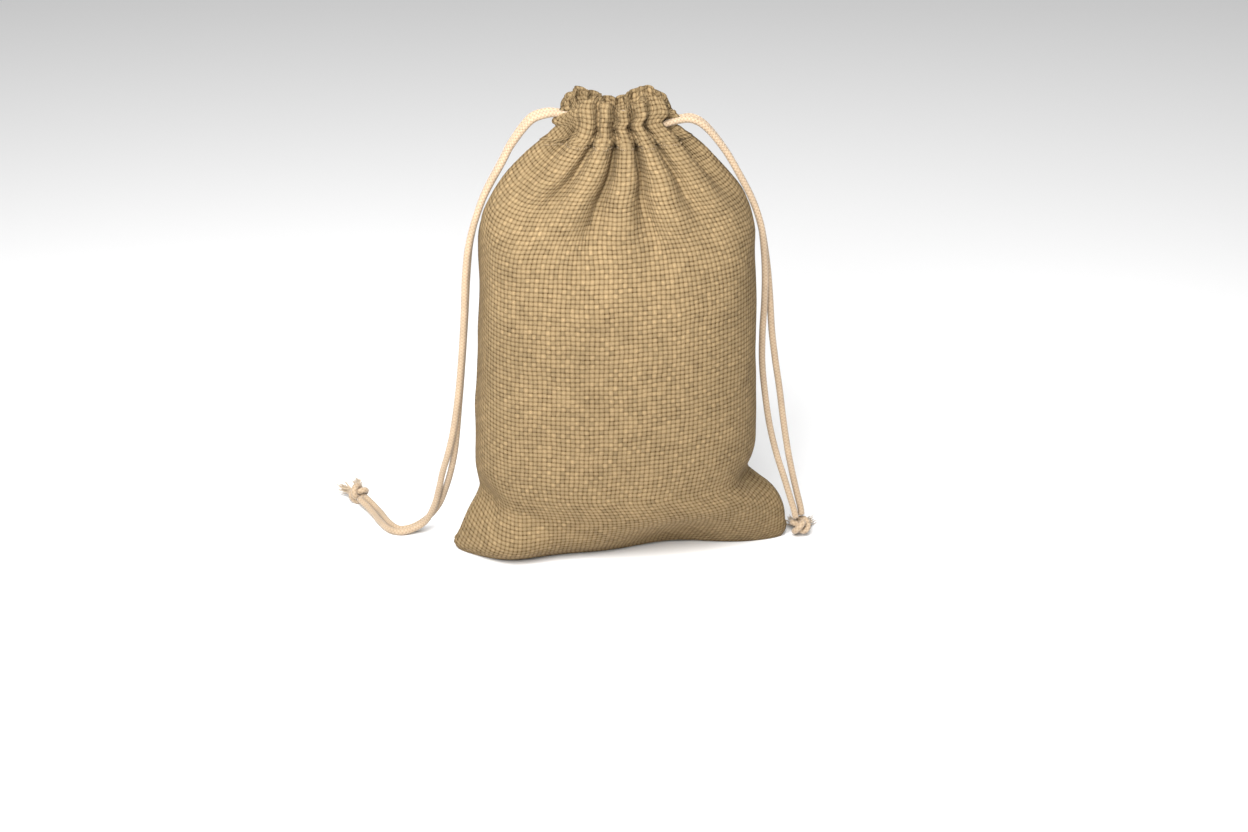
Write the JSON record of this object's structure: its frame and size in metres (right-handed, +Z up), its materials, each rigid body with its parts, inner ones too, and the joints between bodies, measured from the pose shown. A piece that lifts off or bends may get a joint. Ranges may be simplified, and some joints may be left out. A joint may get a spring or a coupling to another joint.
{
  "type": "drawstring gift pouch",
  "caption": "Woven cloth gift pouch, filled and drawn shut at the neck, with braided cords that pull through a hem and hang down both sides to knotted ends.",
  "frame": {"origin": "middle of the base, halfway between the two bottom corners", "axes": "+X to the right along the pouch's width, -Y towards the front, +Z up"},
  "size_m": [0.1725, 0.0817, 0.1633],
  "materials": {
    "cloth": "open burlap weave, khaki, matt",
    "thread": "sewing thread, matt",
    "cord": "fine braided cord, warm beige, slightly glossy",
    "frayed_cord": "loose yarn ends, matt"
  },
  "bodies": {
    "pouch": {"bottom_fold": "cloth", "front_panel": "cloth", "back_panel": "cloth", "left_side_seam": "cloth", "right_side_seam": "cloth", "front_hem": "cloth", "back_hem": "cloth", "front_hem_stitching": "thread", "back_hem_stitching": "thread", "left_drawstring_loop": "cord", "right_drawstring_loop": "cord"},
    "left_draw": {"left_front_lead": "cord", "left_back_lead": "cord"},
    "left_tail": {"left_front_strand": "cord", "left_back_strand": "cord", "left_knot": "cord", "left_front_tip": "frayed_cord", "left_back_tip": "frayed_cord"},
    "right_draw": {"right_front_lead": "cord", "right_back_lead": "cord"},
    "right_tail": {"right_front_strand": "cord", "right_back_strand": "cord", "right_knot": "cord", "right_front_tip": "frayed_cord", "right_back_tip": "frayed_cord"}
  },
  "joints": [
    {"name": "left_drawstring_pull", "type": "slide", "parent": "pouch", "child": "left_draw", "axis": [-1, 0, 0], "range_m": [0, 0.012]},
    {"name": "right_drawstring_pull", "type": "slide", "parent": "pouch", "child": "right_draw", "axis": [1, 0, 0], "range_m": [0, 0.012]},
    {"name": "left_tail_swing", "type": "hinge", "parent": "left_draw", "child": "left_tail", "pos_m": [-0.027, 0, 0.1588], "axis": [0, 1, 0], "range_deg": [0, 90]},
    {"name": "right_tail_swing", "type": "hinge", "parent": "right_draw", "child": "right_tail", "pos_m": [0.026, 0, 0.1558], "axis": [0, -1, 0], "range_deg": [0, 90]}
  ]
}
